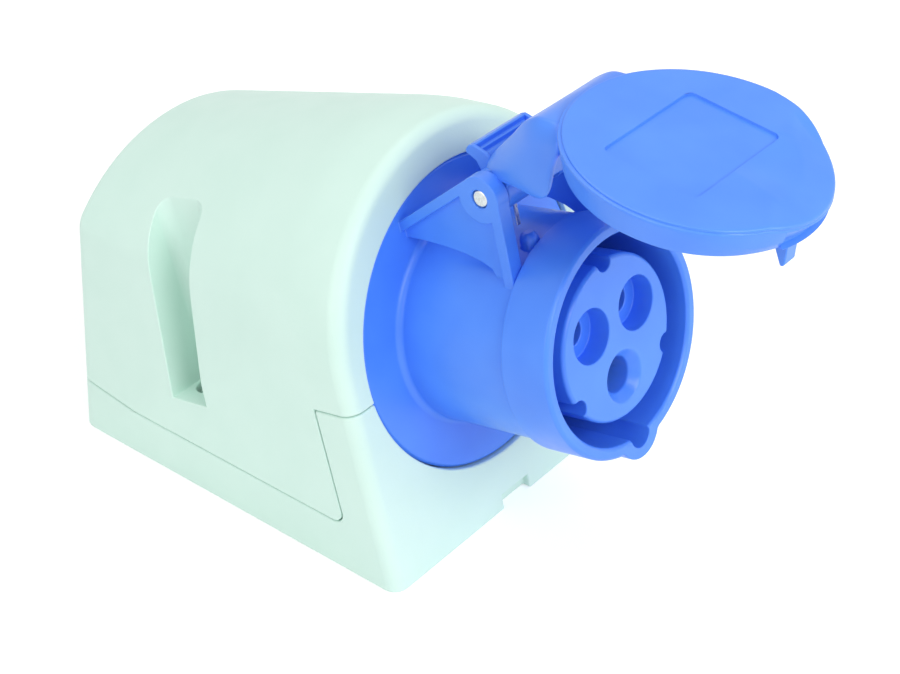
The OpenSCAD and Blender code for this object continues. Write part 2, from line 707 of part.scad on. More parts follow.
// Turned contact: slit sleeve for the pin, groove for its ring, seating collar and terminal barrel
module contact(pin, sleeve_r) let (bore = pin + pin_clear) difference() {
    rotate_extrude() polygon([
        [bore, -sleeve_back - pin_l], [bore, -sleeve_back - edge_cut], [bore + edge_cut, -sleeve_back],
        [sleeve_r, -sleeve_back], [sleeve_r, -ring_back], [sleeve_r - ring_t, -ring_back],
        [sleeve_r - ring_t, -ring_back - ring_w], [sleeve_r, -ring_back - ring_w],
        [sleeve_r, retainer_s + contact_collar_t],
        [sleeve_r + contact_collar, retainer_s + contact_collar_t],
        [sleeve_r + contact_collar, retainer_s], [sleeve_r, retainer_s], [sleeve_r, barrel_s],
        [0, barrel_s], [0, -sleeve_back - pin_l]]);
    translate([-slit_w / 2, -far / 2, -sleeve_back - slit_l]) cube([slit_w, far, slit_l + 1]);
    z_rod(wire_hole_r, barrel_s - 1, tail_s - 1);
    translate([0, 0, tail_s - barrel_l / 2]) x_rod(terminal_screw_r + thread_clear, 0, far / 4);
}

module line_contact() color(brass) socket_frame() at_contact(line_turn) contact(line_pin_r, line_or);
module neutral_contact() color(brass) socket_frame()
    at_contact(180 - line_turn) contact(line_pin_r, line_or);
module earth_contact() color(brass) socket_frame() at_contact(earth_turn) contact(earth_pin_r, earth_or);

// Every contact with the radius of its sleeve
contacts = [[line_turn, line_or], [180 - line_turn, line_or], [earth_turn, earth_or]];

module sleeve_springs() color(steel) socket_frame() for (c = contacts) at_contact(c[0]) difference() {
    z_rod(c[1], -ring_back - ring_w, -ring_back);
    z_rod(c[1] - ring_t, -ring_back - ring_w - 1, -ring_back + 1);
}

module terminal_screws() color(steel) socket_frame() for (c = contacts) at_contact(c[0])
    translate([0, 0, tail_s - barrel_l / 2]) difference() {
        x_rod(terminal_screw_r, wire_hole_r - eps, c[1] + head_t);
        translate([c[1] + head_t, 0, 0]) cube([head_t, slot_w, far], center = true);
    }

module contact_retainer() color(black) socket_frame() difference() {
    z_rod(carrier_rim_r, tail_s, retainer_s);
    for (c = contacts) at_contact(c[0]) z_rod(c[1] + seat_clear, tail_s - 1, retainer_s + 1);
    at_retainer_screws() z_rod(retainer_screw_r + seat_clear, tail_s - 1, retainer_s + 1);
}

module retainer_screws() color(steel) socket_frame() at_retainer_screws() difference() {
    union() {
        z_rod(retainer_screw_r, tail_s - head_t / 2, rim_s + retainer_grip);
        z_rod(retainer_head_r, tail_s - head_t, tail_s);
    }
    translate([0, 0, tail_s - head_t]) cube([slot_w, far, head_t], center = true);
}

module hinge_pin() color(steel) socket_frame() translate([0, pin_up, -pin_back])
    let (end = ear_out - pin_sink) rotate([0, 90, 0]) rotate_extrude() polygon([
        [0, -end], [pin_r - pin_cut, -end], [pin_r, pin_cut - end],
        [pin_r, end - pin_cut], [pin_r - pin_cut, end], [0, end]]);

// Points along the lid spring, about the hinge pin: hook in the lid, coil and leg on the socket
spring_turns = 5;
spring_half = spring_slot - wire_r - 0.4;
coil_start = 42;
coil_end = open_angle - 90 - 360 * spring_turns;
function coil_angle(t) = coil_start + t * (coil_end - coil_start);
function coil_point(t) = let (a = coil_angle(t))
    [spring_half * (1 - 2 * t), coil_r * cos(a), coil_r * sin(a)];
function coil_heading(t) = let (a = coil_angle(t)) [0, sin(a), -cos(a)];
spring_path = concat(
    [coil_point(0) - hook_l * coil_heading(0)],
    [for (i = [0:72]) coil_point(i / 72)],
    [coil_point(1) + leg_l * coil_heading(1)]);

// Round wire swept along a path that winds about X
module wire(path, r, sides = 8) let (n = len(path), rings = [for (i = [0:n - 1]) let (
        d = path[min(i + 1, n - 1)] - path[max(i - 1, 0)],
        t = d / norm(d), side = cross(t, [1, 0, 0]) / norm(cross(t, [1, 0, 0])), up = cross(side, t))
        [for (k = [0:sides - 1]) path[i] + r * (cos(360 * k / sides) * side + sin(360 * k / sides) * up)]])
    polyhedron(points = [for (ring = rings, p = ring) p], faces = concat(
        [[for (k = [0:sides - 1]) k]],
        [for (i = [0:n - 2], k = [0:sides - 1]) let (a = i * sides + k, b = i * sides + (k + 1) % sides)
            [a, a + sides, b + sides, b]],
        [[for (k = [sides - 1:-1:0]) (n - 1) * sides + k]]));

module lid_spring() color(steel) lid_frame() translate([0, pin_up, -pin_back]) wire(spring_path, wire_r);

// Half outline of the lid: raised face, stepped edge and drafted skirt
module lid_profile() polygon([
    [0, lid_under], [skirt_ir, lid_under], [skirt_ir, skirt_gap], [skirt_or, skirt_gap],
    [lid_r, lid_rim - lid_step], [lid_r, lid_rim], [lid_r - lid_edge, lid_rim], [lid_r - lid_edge, lid_h],
    [0, lid_h]]);

// A half outline turned about the socket axis, from one angle to another either side of the front
module front_turn(a0, a1) rotate([0, 0, 270 + a0]) rotate_extrude(angle = a1 - a0) children();

// Slope above the front lip and finger recesses below it
module lip_cut() {
    front_turn(-lip_turn, lip_turn) polygon([
        [lip_start_r, lid_h], [lid_r + lip_bead, lip_s], [lid_r + lip_bead, lid_h + 1],
        [lip_start_r, lid_h + 1]]);
    for (side = [0, 1]) mirror([side, 0, 0]) front_turn(grip_turn, lip_turn - 1) polygon([
        [grip_r, -1], [grip_r, lip_s - 2 * lip_bead], [lid_r, lip_s - lip_bead - groove_r],
        [lid_r + 1, lip_s - lip_bead - groove_r], [lid_r + 1, -1]]);
}

// Hinge arm in (s, u): roof from the lid's edge to the thumb tab, and the web under it to the knuckle
module arm_outline() polygon([
    [lid_under, skirt_ir], [lid_rim, skirt_ir], [lid_rim, lid_r - lid_edge],
    [thumb_s - 0.3, thumb_u - thumb_h], [thumb_s, thumb_u - thumb_t / 2], [thumb_s - 0.8, thumb_u - 0.4],
    [thumb_s - thumb_t * 0.8, thumb_u], [thumb_s - thumb_t, thumb_u - thumb_t],
    [-pin_back - lid_knuckle_r + 1, pin_up + lid_knuckle_r / 2], [-pin_back, pin_up],
    [-pin_back + 3, pin_up - lid_knuckle_r + 1], [skirt_gap, collar_or]]);

// Web in (s, u) that joins the knuckle to the cheeks between the ears
module web_outline() polygon([
    [-pin_back, pin_up + lid_knuckle_r - eps], [cheek_s + cheek_r, cheek_u + 11],
    [cheek_s + cheek_r, cheek_u + 6], [-pin_back + 3, pin_up - lid_knuckle_r + 1], [-pin_back, pin_up]]);

// Flared hood of the arm: rounded cheeks that come down beside the collar
module arm_hood() hull() {
    translate([0, thumb_u - thumb_h - cheek_r, thumb_s - 0.3 - cheek_r / 2])
        x_rod(cheek_r, cheek_r - thumb_half, thumb_half - cheek_r);
    translate([0, skirt_ir, lid_rim - cheek_r]) x_rod(cheek_r, -lid_arm, lid_arm);
    for (side = [-1, 1], p = cheek_points) translate([side * (cheek_x - cheek_r), p[1], p[0]])
        sphere(r = cheek_r);
}

// Label field, sunk into the raised face
module label_field() translate([0, label_u, lid_h - label_d]) linear_extrude(label_d + 1)
    offset(r = label_r) square([label_w - 2 * label_r, label_l - 2 * label_r], center = true);

module lid() color(blue) lid_frame() difference() {
    union() {
        difference() {
            union() {
                rotate_extrude() lid_profile();
                side_plate(-thumb_half, thumb_half) arm_outline();
                side_plate(-lid_arm, lid_arm) web_outline();
                arm_hood($fn = 24);
                translate([0, pin_up, -pin_back]) x_rod(lid_knuckle_r, -lid_arm, lid_arm);
            }
            z_rod(skirt_ir, -far, lid_under);
            z_rod(arm_clear_r, -far, skirt_gap);
            lip_cut();
        }
        front_turn(-lip_turn, lip_turn) translate([lid_r - lip_bead / 2, lip_s]) circle(r = lip_bead);
        translate([0, tongue_t / 2 - tongue_r, lid_under + eps]) mirror([0, 0, 1])
            linear_extrude(tongue_l - lid_t, scale = [tongue_taper, 1], slices = 1)
                square([tongue_w, tongue_t], center = true);
    }
    label_field();
    translate([0, pin_up, -pin_back]) {
        x_rod(pin_r + hinge_clear, -ear_out, ear_out);
        x_rod(lid_knuckle_r + edge_cut, -spring_slot, spring_slot);
    }
    for (k = [1, 2]) translate([0, thumb_u - thumb_h + k * thumb_h / 4, thumb_s - 0.1])
        x_rod(groove_r, 1 - thumb_half, thumb_half - 1);
}

module lid_seal() color(black) lid_frame() difference() {
    z_rod(skirt_ir - rubber_clear, seal_gap, lid_under);
    z_rod(seal_ir, -1, lid_under + 1);
    translate([-tongue_w / 2 - rubber_clear, -tongue_r - 1, -1])
        cube([tongue_w + 2 * rubber_clear, tongue_t + 2, lid_h]);
}

wall_base();
cover();
cover_screws();
screw_washers();
cable_grommet();
socket_shell();
flange_gasket();
contact_carrier();
line_contact();
neutral_contact();
earth_contact();
sleeve_springs();
terminal_screws();
contact_retainer();
retainer_screws();
hinge_pin();
lid_spring();
lid();
lid_seal();
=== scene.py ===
# %% [markdown]
# # An industrial wall socket with its lid open
# The part is a two-piece housing in pale mint-grey plastic with a blue socket that leans out of it.
# The imported model is the fixed frame, so every piece below is made in the same place and at the same
# size as its solid. This first step loads the frame.

# %% Load the frame
from math import cos, pi, radians, sin

import bmesh
import bpy
from mathutils import Matrix, Vector


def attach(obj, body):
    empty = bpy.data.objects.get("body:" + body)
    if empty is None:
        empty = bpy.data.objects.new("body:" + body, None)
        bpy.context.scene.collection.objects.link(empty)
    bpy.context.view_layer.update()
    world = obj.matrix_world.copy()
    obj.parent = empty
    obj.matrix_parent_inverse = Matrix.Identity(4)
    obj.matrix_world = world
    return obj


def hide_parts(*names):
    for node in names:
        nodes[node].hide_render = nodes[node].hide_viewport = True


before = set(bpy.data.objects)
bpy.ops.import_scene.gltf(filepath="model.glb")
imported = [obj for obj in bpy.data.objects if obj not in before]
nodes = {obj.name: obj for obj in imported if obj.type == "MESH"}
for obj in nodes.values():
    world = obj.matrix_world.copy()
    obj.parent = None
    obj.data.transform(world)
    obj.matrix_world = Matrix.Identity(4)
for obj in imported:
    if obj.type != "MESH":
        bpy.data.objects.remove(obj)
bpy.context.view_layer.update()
scene = bpy.context.scene
MM = 0.001

# %% [markdown]
# ## The socket's own frame
# The mouth, collar and hinge all stand on one slanted axis. Writing places as (x, u, s), across, up from
# the axis and out of the mouth, keeps the numbers the ones a maker would measure with a caliper.

# %% Driving sizes and the slanted frame
PLATE_L = 103.4
TILT = radians(12.3)
AXIS_H, REACH = 48.8, 39.6
AXIS = Vector((0, -cos(TILT), sin(TILT)))
RISE = Vector((0, sin(TILT), cos(TILT)))
MOUTH = Vector((0, -PLATE_L / 2, 0)) + AXIS_H * RISE + REACH * AXIS
PIN_UP, PIN_BACK, OPEN_ANGLE = 36.6, 16.5, radians(69)


def socket_point(x, u, s):
    """A place in millimetres from its distances across, up from and along the socket axis."""
    return MOUTH + Vector((x, 0, 0)) + u * RISE + s * AXIS


def lid_point(x, u, s):
    """A place on the open lid, from the distances that it has when the lid is closed."""
    du, ds = u - PIN_UP, s + PIN_BACK
    return socket_point(x, PIN_UP + du * cos(OPEN_ANGLE) + ds * sin(OPEN_ANGLE),
                        -PIN_BACK - du * sin(OPEN_ANGLE) + ds * cos(OPEN_ANGLE))


print("mouth of the collar", MOUTH, "hinge pin", socket_point(0, PIN_UP, -PIN_BACK))

# %% [markdown]
# ## Camera
# The view was fitted to straight edges of the housing and to the circles of collar, flange and lid.
# Azimuth, elevation, distance and a small roll give the same picture as the camera that took it.

# %% Camera at the photograph's angle
VIEW_AZIMUTH, VIEW_ELEVATION, VIEW_ROLL = radians(-48.858), radians(34.713), radians(-2.297)
VIEW_TARGET, VIEW_DISTANCE = Vector((0, -32.975, 37.146)), 407.475
SENSOR_W, LENS = 36.0, 73.07


def place_camera():
    back = Vector((sin(VIEW_AZIMUTH) * cos(VIEW_ELEVATION), -cos(VIEW_AZIMUTH) * cos(VIEW_ELEVATION),
                   sin(VIEW_ELEVATION)))
    level = Vector((0, 0, 1)).cross(back).normalized()
    upright = back.cross(level)
    right = level * cos(VIEW_ROLL) + upright * sin(VIEW_ROLL)
    up = upright * cos(VIEW_ROLL) - level * sin(VIEW_ROLL)
    camera = bpy.data.objects.new("camera", bpy.data.cameras.new("camera"))
    camera.data.sensor_fit = "HORIZONTAL"
    camera.data.sensor_width = SENSOR_W
    camera.data.lens = LENS
    camera.data.clip_start = 0.01
    camera.matrix_world = Matrix.Translation((VIEW_TARGET + VIEW_DISTANCE * back) * MM) @ Matrix(
        (right, up, back)).transposed().to_4x4()
    scene.collection.objects.link(camera)
    scene.camera = camera
    return camera


camera = place_camera()
print("camera at", camera.matrix_world.translation)

# %% [markdown]
# ## Floor and background
# A white cut-out picture has soft light from all round and hardly a shadow. A white world and a pale floor
# do the same. The floor glows a little for the camera and for reflections alone, so that it shows white and
# yet keeps the contact shadow and throws no more light on the piece. Further out, where the lamps reach it
# less, it glows more.

# %% Floor and world
FLOOR_SIZE, FLOOR_WHITE, FLOOR_ROUGH = 4.0, 0.93, 0.9
FLOOR_GLOW, FADE_FROM, FADE_TO = 0.30, 0.3, 1.0
WORLD_STRENGTH = 0.42


def shader_node(tree, kind, links=None, operation=None, **values):
    """A node with its input values by name and its linked inputs by name or number."""
    made = tree.nodes.new(kind)
    if operation:
        made.operation = operation
    for name, value in values.items():
        made.inputs[name.replace("_", " ")].default_value = value
    for name, source in (links or {}).items():
        tree.links.new(source, made.inputs[name])
    return made


def new_material(name):
    """A material with its tree, its shader and the piece's own coordinates."""
    material = bpy.data.materials.new(name)
    material.use_nodes = True
    tree = material.node_tree
    place = tree.nodes.new("ShaderNodeTexCoord").outputs["Object"]
    return material, tree, tree.nodes["Principled BSDF"], place


def ray_is_seen(tree):
    """One where a ray comes from the camera, a reflection or a transmission, else nought."""
    path = tree.nodes.new("ShaderNodeLightPath")
    total = path.outputs["Is Camera Ray"]
    for name in ("Is Glossy Ray", "Is Transmission Ray"):
        most = shader_node(tree, "ShaderNodeMath", {0: total, 1: path.outputs[name]}, "MAXIMUM")
        total = most.outputs[0]
    return total


def make_world():
    world = bpy.data.worlds.new("studio")
    world.use_nodes = True
    tree = world.node_tree
    background = tree.nodes["Background"]
    background.inputs["Color"].default_value = (1, 1, 1, 1)
    strength = shader_node(tree, "ShaderNodeMapRange", {"Value": ray_is_seen(tree)},
                           To_Min=WORLD_STRENGTH, To_Max=1.0)
    tree.links.new(strength.outputs[0], background.inputs["Strength"])
    scene.world = world


def floor_material():
    material, tree, shader, place = new_material("pale_floor")
    shader.inputs["Base Color"].default_value = (FLOOR_WHITE, FLOOR_WHITE, FLOOR_WHITE, 1)
    shader.inputs["Roughness"].default_value = FLOOR_ROUGH
    shader.inputs["Emission Color"].default_value = (1, 1, 1, 1)
    away = shader_node(tree, "ShaderNodeVectorMath", {0: place}, "LENGTH")
    fade = shader_node(tree, "ShaderNodeMapRange", {"Value": away.outputs["Value"]},
                       From_Min=FADE_FROM, From_Max=FADE_TO, To_Min=FLOOR_GLOW, To_Max=1.0)
    glow = shader_node(tree, "ShaderNodeMath", {0: ray_is_seen(tree), 1: fade.outputs[0]}, "MULTIPLY")
    tree.links.new(glow.outputs[0], shader.inputs["Emission Strength"])
    return material


def make_floor():
    half = FLOOR_SIZE / 2
    corners = [(-half, -half, 0), (half, -half, 0), (half, half, 0), (-half, half, 0)]
    mesh = bpy.data.meshes.new("floor")
    mesh.from_pydata(corners, [], [(0, 1, 2, 3)])
    mesh.materials.append(floor_material())
    floor = bpy.data.objects.new("floor", mesh)
    scene.collection.objects.link(floor)


make_world()
make_floor()
print("floor", FLOOR_SIZE, "m wide, world strength", WORLD_STRENGTH)

# %% [markdown]
# ## Lamps
# Four large area lamps stand well away from the piece, so that its edges shade softly. They are weak enough
# for the pale plastic to keep its colour. The Standard view transform shows colours as they are written.

# %% Studio lamps
LAMP_AIM = Vector((0, -0.03, 0.05))
LAMPS = [
    ("key_lamp", (-0.20, -0.85, 0.65), 0.5, 4.4),
    ("front_lamp", (0.40, -0.85, 0.45), 0.5, 2.0),
    ("side_lamp", (-0.90, 0.10, 0.50), 0.6, 2.5),
    ("top_lamp", (0.10, 0.15, 1.00), 0.7, 2.7),
]


def add_lamp(name, place, size, watts):
    data = bpy.data.lights.new(name, "AREA")
    data.size = size
    data.energy = watts
    lamp = bpy.data.objects.new(name, data)
    lamp.location = place
    lamp.rotation_euler = (LAMP_AIM - Vector(place)).to_track_quat("-Z", "Y").to_euler()
    scene.collection.objects.link(lamp)


for lamp in LAMPS:
    add_lamp(*lamp)
scene.view_settings.view_transform = "Standard"

# %% [markdown]
# ## Moulded plastic and rubber
# The housing is spark-eroded plastic: a fine, even grain, a slight cloudiness in the colour and a gloss
# that changes a little from place to place. One function makes every plastic from its two tones, its
# roughness and its grain. All patterns read Object coordinates, so they stay fixed to the piece.

# %% Plastic and rubber finishes
CLOUD_MM, SHEEN_MM = 14.0, 5.0


def noise(tree, place, size_mm, detail=2.0):
    """A noise whose features are about size_mm across, on the piece's own coordinates."""
    return shader_node(tree, "ShaderNodeTexNoise", {"Vector": place}, Scale=1000.0 / size_mm, Detail=detail)


def two_tone(tree, source, dark, light, low=0.35, high=0.65):
    """A colour that goes from dark to light with the source."""
    ramp = tree.nodes.new("ShaderNodeValToRGB")
    ramp.color_ramp.elements[0].position = low
    ramp.color_ramp.elements[0].color = (*dark, 1)
    ramp.color_ramp.elements[1].position = high
    ramp.color_ramp.elements[1].color = (*light, 1)
    tree.links.new(source, ramp.inputs["Fac"])
    return ramp.outputs["Color"]


def spread(tree, source, low, high):
    """The source's noise brought to the range from low to high."""
    made = shader_node(tree, "ShaderNodeMapRange", {"Value": source},
                       From_Min=0.3, From_Max=0.7, To_Min=low, To_Max=high)
    return made.outputs["Result"]


def moulded(name, dark, light, rough, grain_mm, grain_depth_mm):
    material, tree, shader, place = new_material(name)
    cloud = noise(tree, place, CLOUD_MM).outputs["Fac"]
    tree.links.new(two_tone(tree, cloud, dark, light), shader.inputs["Base Color"])
    sheen = noise(tree, place, SHEEN_MM, 4.0).outputs["Fac"]
    tree.links.new(spread(tree, sheen, rough - 0.04, rough + 0.05), shader.inputs["Roughness"])
    grain = noise(tree, place, grain_mm, 3.0).outputs["Fac"]
    bump = shader_node(tree, "ShaderNodeBump", {"Height": grain}, Strength=0.5, Distance=grain_depth_mm * MM)
    tree.links.new(bump.outputs["Normal"], shader.inputs["Normal"])
    return material


HOUSING_PLASTIC = moulded("mint_grey_plastic", (0.650, 0.866, 0.778), (0.668, 0.880, 0.794), 0.46, 0.42, 0.05)
BLUE_PLASTIC = moulded("signal_blue_plastic", (0.068, 0.250, 0.93), (0.080, 0.275, 0.95), 0.34, 0.30, 0.02)
DARK_PLASTIC = moulded("dark_plastic", (0.030, 0.031, 0.034), (0.045, 0.046, 0.05), 0.42, 0.35, 0.03)
RUBBER = moulded("black_rubber", (0.016, 0.016, 0.018), (0.030, 0.030, 0.032), 0.68, 0.25, 0.05)
print("plastics", [m.name for m in (HOUSING_PLASTIC, BLUE_PLASTIC, DARK_PLASTIC, RUBBER)])

# %% [markdown]
# ## Turned brass and steel
# The contacts are turned parts and the screws are cold-headed and zinc plated. Both are bare metal, so
# their look comes from the reflections. Noise that is squeezed along one axis gives the fine tool marks.

# %% Metal finishes
TOOL_MARK_MM, TOOL_MARK_DEPTH_MM = 0.8, 0.01


def bare_metal(name, dark, light, rough, squeeze):
    material, tree, shader, place = new_material(name)
    mapping = shader_node(tree, "ShaderNodeMapping", {"Vector": place}, Scale=squeeze)
    marks = noise(tree, mapping.outputs["Vector"], TOOL_MARK_MM, 3.0).outputs["Fac"]
    tree.links.new(two_tone(tree, marks, dark, light), shader.inputs["Base Color"])
    tree.links.new(spread(tree, marks, rough - 0.06, rough + 0.08), shader.inputs["Roughness"])
    bump = shader_node(tree, "ShaderNodeBump", {"Height": marks}, Strength=0.3,
                       Distance=TOOL_MARK_DEPTH_MM * MM)
    tree.links.new(bump.outputs["Normal"], shader.inputs["Normal"])
    shader.inputs["Metallic"].default_value = 1.0
    return material


STEEL = bare_metal("zinc_plated_steel", (0.56, 0.58, 0.57), (0.74, 0.76, 0.74), 0.30, (4.0, 1.0, 1.0))
BRASS = bare_metal("turned_brass", (0.58, 0.40, 0.13), (0.76, 0.56, 0.24), 0.28, (1.0, 1.0, 6.0))
print("metals", STEEL.name, BRASS.name)

# %% [markdown]
# ## From solid to moulded piece
# A moulded or turned edge is never sharp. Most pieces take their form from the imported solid: its loose
# triangles are merged into whole faces, a bevel rounds the edges, and weighted normals keep the flat
# faces flat in the light. The piece then stands for its solid and rides on the same body.

# %% Helpers for moulded pieces
SAME_PLACE, THIN_FACE = 0.002 * MM, 0.01 * MM
FLAT_TURN, CORNER_TURN, ROUNDING_STEPS = radians(0.5), radians(35), 3


def merged_form(node, shortest_mm):
    """A copy of a node's mesh as a closed surface with whole faces and no very short edges."""
    form = bmesh.new()
    form.from_mesh(nodes[node].data)
    bmesh.ops.remove_doubles(form, verts=form.verts, dist=SAME_PLACE)
    bmesh.ops.dissolve_limit(form, angle_limit=FLAT_TURN, verts=form.verts, edges=form.edges)
    if shortest_mm:
        bmesh.ops.remove_doubles(form, verts=form.verts, dist=shortest_mm * MM)
        bmesh.ops.dissolve_degenerate(form, dist=THIN_FACE, edges=form.edges)
    mesh = bpy.data.meshes.new(node + "_form")
    form.to_mesh(mesh)
    form.free()
    return mesh


def settle(piece):
    """Turns a piece's modifiers into plain mesh."""
    solid = piece.evaluated_get(bpy.context.evaluated_depsgraph_get())
    mesh = bpy.data.meshes.new_from_object(solid)
    piece.modifiers.clear()
    piece.data = mesh


def rounded(piece, edge_mm, clamp=False):
    """Rounds a piece's edges where they turn by more than the corner angle."""
    bevel = piece.modifiers.new("rounding", "BEVEL")
    bevel.width = edge_mm * MM
    bevel.segments = ROUNDING_STEPS
    bevel.limit_method = "ANGLE"
    bevel.angle_limit = CORNER_TURN
    bevel.use_clamp_overlap = clamp
    settle(piece)


def even_normals(piece, corner=CORNER_TURN):
    """Smooth faces with sharp corners, and flat faces that stay flat in the light."""
    piece.data.shade_smooth()
    piece.data.set_sharp_from_angle(angle=corner)
    weighted = piece.modifiers.new("normals", "WEIGHTED_NORMAL")
    weighted.keep_sharp = True
    settle(piece)


def stand_for(piece, material, slot, body, *replaced):
    """Finishes a piece: its material, the body it rides on and the nodes it replaces. The slot is not used.
    """
    piece.data.materials.clear()
    piece.data.materials.append(material)
    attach(piece, body)
    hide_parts(*replaced)
    return piece


def new_piece(name, mesh):
    piece = bpy.data.objects.new(name, mesh)
    scene.collection.objects.link(piece)
    return piece


def moulded_copy(node, material, slot, body, edge_mm, shortest_mm=0.0):
    """A rounded piece that stands for one solid."""
    piece = new_piece(node + "_piece", merged_form(node, shortest_mm))
    rounded(piece, edge_mm)
    even_normals(piece)
    return stand_for(piece, material, slot, body, node)


print("solids to dress", len(nodes))

# %% [markdown]
# ## The moulded and turned pieces
# Each line names a solid, its finish, its body, the rounding that such a piece has and, for the large
# mouldings, the length below which an edge is closed, so that the rounding folds no face over.

# %% Pieces that follow their solids
FOLLOWERS = [
    ("wall_base", HOUSING_PLASTIC, "housing", "housing", 0.45, 0.3),
    ("cover", HOUSING_PLASTIC, "housing", "housing", 0.25, 0.3),
    ("socket_shell", BLUE_PLASTIC, "blue_plastic", "housing", 0.25, 0.3),
    ("contact_carrier", BLUE_PLASTIC, "blue_plastic", "housing", 0.3, 0.0),
    ("lid_seal", RUBBER, "rubber", "lid", 0.3, 0.0),
    ("cable_grommet", RUBBER, "rubber", "housing", 0.4, 0.0),
    ("flange_gasket", RUBBER, "rubber", "housing", 0.2, 0.0),
    ("line_contact", BRASS, "brass", "housing", 0.12, 0.0),
    ("neutral_contact", BRASS, "brass", "housing", 0.12, 0.0),
    ("earth_contact", BRASS, "brass", "housing", 0.12, 0.0),
    ("contact_retainer", DARK_PLASTIC, "dark_plastic", "housing", 0.2, 0.0),
    ("hinge_pin", STEEL, "steel", "housing", 0.15, 0.0),
    ("sleeve_springs", STEEL, "steel", "housing", 0.08, 0.0),
    ("terminal_screws", STEEL, "steel", "housing", 0.12, 0.0),
    ("retainer_screws", STEEL, "steel", "housing", 0.12, 0.0),
]
for node, material, slot, body, edge, shortest in FOLLOWERS:
    piece = moulded_copy(node, material, slot, body, edge, shortest)
    print(piece.name, len(piece.data.polygons), "faces")

# %% [markdown]
# ## Splash lid: the edge of the cap
# The cap is a shallow dish. Most of the way round, its edge is a drafted skirt under a small step. Towards
# the finger grip the top slopes down to a thin lip with a hollow under it. Each kind of edge is written
# once, as points of (radius, height), and all have the same number of points, so that one can turn into
# the next by mixing them. The plain edge sits a little to one side, as the lid does on its pin.

# %% Sections of the edge
CAP_H = 6.8
SLOPE, SLOPE_FROM, SLOPE_MIDDLE = 0.29, 15.0, 25.0
PLAIN_EDGE = [(25.6, 6.8), (25.95, 6.78), (26.08, 6.68), (26.1, 6.5), (26.12, 6.39), (26.2, 6.35),
              (26.52, 6.35), (26.72, 6.28), (26.8, 6.1), (26.76, 5.7), (25.55, 1.6), (25.25, 0.6),
              (25.17, 0.42), (25.0, 0.35)]
PLAIN_SHIFT = 0.7
LIP_DROPS = [(24.7, 0.0), (25.05, 0.04), (25.28, 0.14), (25.4, 0.32), (25.42, 0.52), (25.28, 0.68),
             (25.28, 0.86), (25.46, 1.0), (25.5, 1.2)]
LIP_SKIRT = [(25.15, 2.4), (24.75, 1.6), (24.3, 0.6), (24.2, 0.42), (24.05, 0.35)]
GRIP_SKIRT = [(24.6, 2.2), (24.05, 1.8), (24.1, 1.0), (25.2, 0.55), (25.05, 0.35)]
GRIP_MIDDLE, GRIP_TURN, LIP_TURN, LIP_BLEND = 12.0, 30.0, 44.0, 36.0


def cap_top(r, turn):
    """Height of the cap's top, which slopes down towards the finger grip."""
    return CAP_H - SLOPE * max(0.0, r * cos(radians(turn - SLOPE_MIDDLE)) - SLOPE_FROM)


def from_grip(turn):
    """Angle between a turn and the middle of the finger grip."""
    return abs((turn - GRIP_MIDDLE + 180.0) % 360.0 - 180.0)


def plain_share(turn):
    """Nought in the lip, one in the plain edge, and in between where one turns into the other."""
    return min(1.0, max(0.0, (from_grip(turn) - LIP_TURN) / LIP_BLEND))


def cap_edge(turn):
    """Section of the edge at a turn from the front."""
    share = plain_share(turn)
    lip = [(r, cap_top(r, turn) - drop) for r, drop in LIP_DROPS]
    lip += GRIP_SKIRT if from_grip(turn) < GRIP_TURN else LIP_SKIRT
    return [(r + share * (plain_r - r), s + share * (plain_s - s))
            for (r, s), (plain_r, plain_s) in zip(lip, PLAIN_EDGE)]


print("points in a section", len(PLAIN_EDGE), "and", len(cap_edge(0.0)))

# %% [markdown]
# ## Label field
# In the middle of the cap lies a bare label field, a rectangle with round corners that is sunk a little. A
# separate cut would leave long thin faces that shade badly, so the rings of the cap follow the field.

# %% Outline of the label field
LABEL_W, LABEL_L, LABEL_ROUND = 28.4, 20.6, 1.5
LABEL_U, LABEL_DEPTH, LABEL_LEAN = 1.8, 0.5, 0.12
LEAST = 1e-6


def label_reach(turn, grow):
    """Distance from the label's middle to its outline, in the direction of a turn."""
    across, down = abs(sin(radians(turn))), abs(cos(radians(turn)))
    half_w, half_l, r = LABEL_W / 2 + grow, LABEL_L / 2 + grow, LABEL_ROUND + grow
    reach = min(half_w / max(across, LEAST), half_l / max(down, LEAST))
    inner_w, inner_l = half_w - r, half_l - r
    if reach * across > inner_w and reach * down > inner_l:
        along = across * inner_w + down * inner_l
        reach = along + max(0.0, along ** 2 - inner_w ** 2 - inner_l ** 2 + r ** 2) ** 0.5
    return reach


print("label reach, down and across", label_reach(0.0, 0.0), label_reach(90.0, 0.0))

# %% [markdown]
# ## Skin of the cap
# One chain of points runs from the label's middle over the top, round the edge and back to the middle of
# the underside. Chains are set at even steps round the cap and joined each to the next, so the cap is one
# closed skin. Where the finger hollow ends, two chains stand close together and make a crisp end wall.

# %% Chains of points, and the skin
TOP_RINGS = [18.5, 20.0, 21.0, 22.0, 23.0, 24.0]
UNDERSIDE = [(23.75, 0.35), (23.56, 0.43), (23.5, 0.62), (23.5, 4.0), (23.42, 4.18), (23.25, 4.25),
             (12, 4.4), (0, 4.4)]
STEP_TURN, WALL_TURN = 2.0, 0.4
DOUBLED, FELL_FLAT = 0.001 * MM, 0.0005 * MM


def cap_turns():
    """Even steps round the cap, with a close pair at each end of the finger hollow."""
    steps = [STEP_TURN * k for k in range(round(360 / STEP_TURN))]
    ends = [GRIP_MIDDLE + GRIP_TURN, 360.0 + GRIP_MIDDLE - GRIP_TURN]
    steps = [turn for turn in steps if min(abs(turn - end) for end in ends) > WALL_TURN]
    return sorted(steps + [end + side * WALL_TURN / 2 for end in ends for side in (-1, 1)])


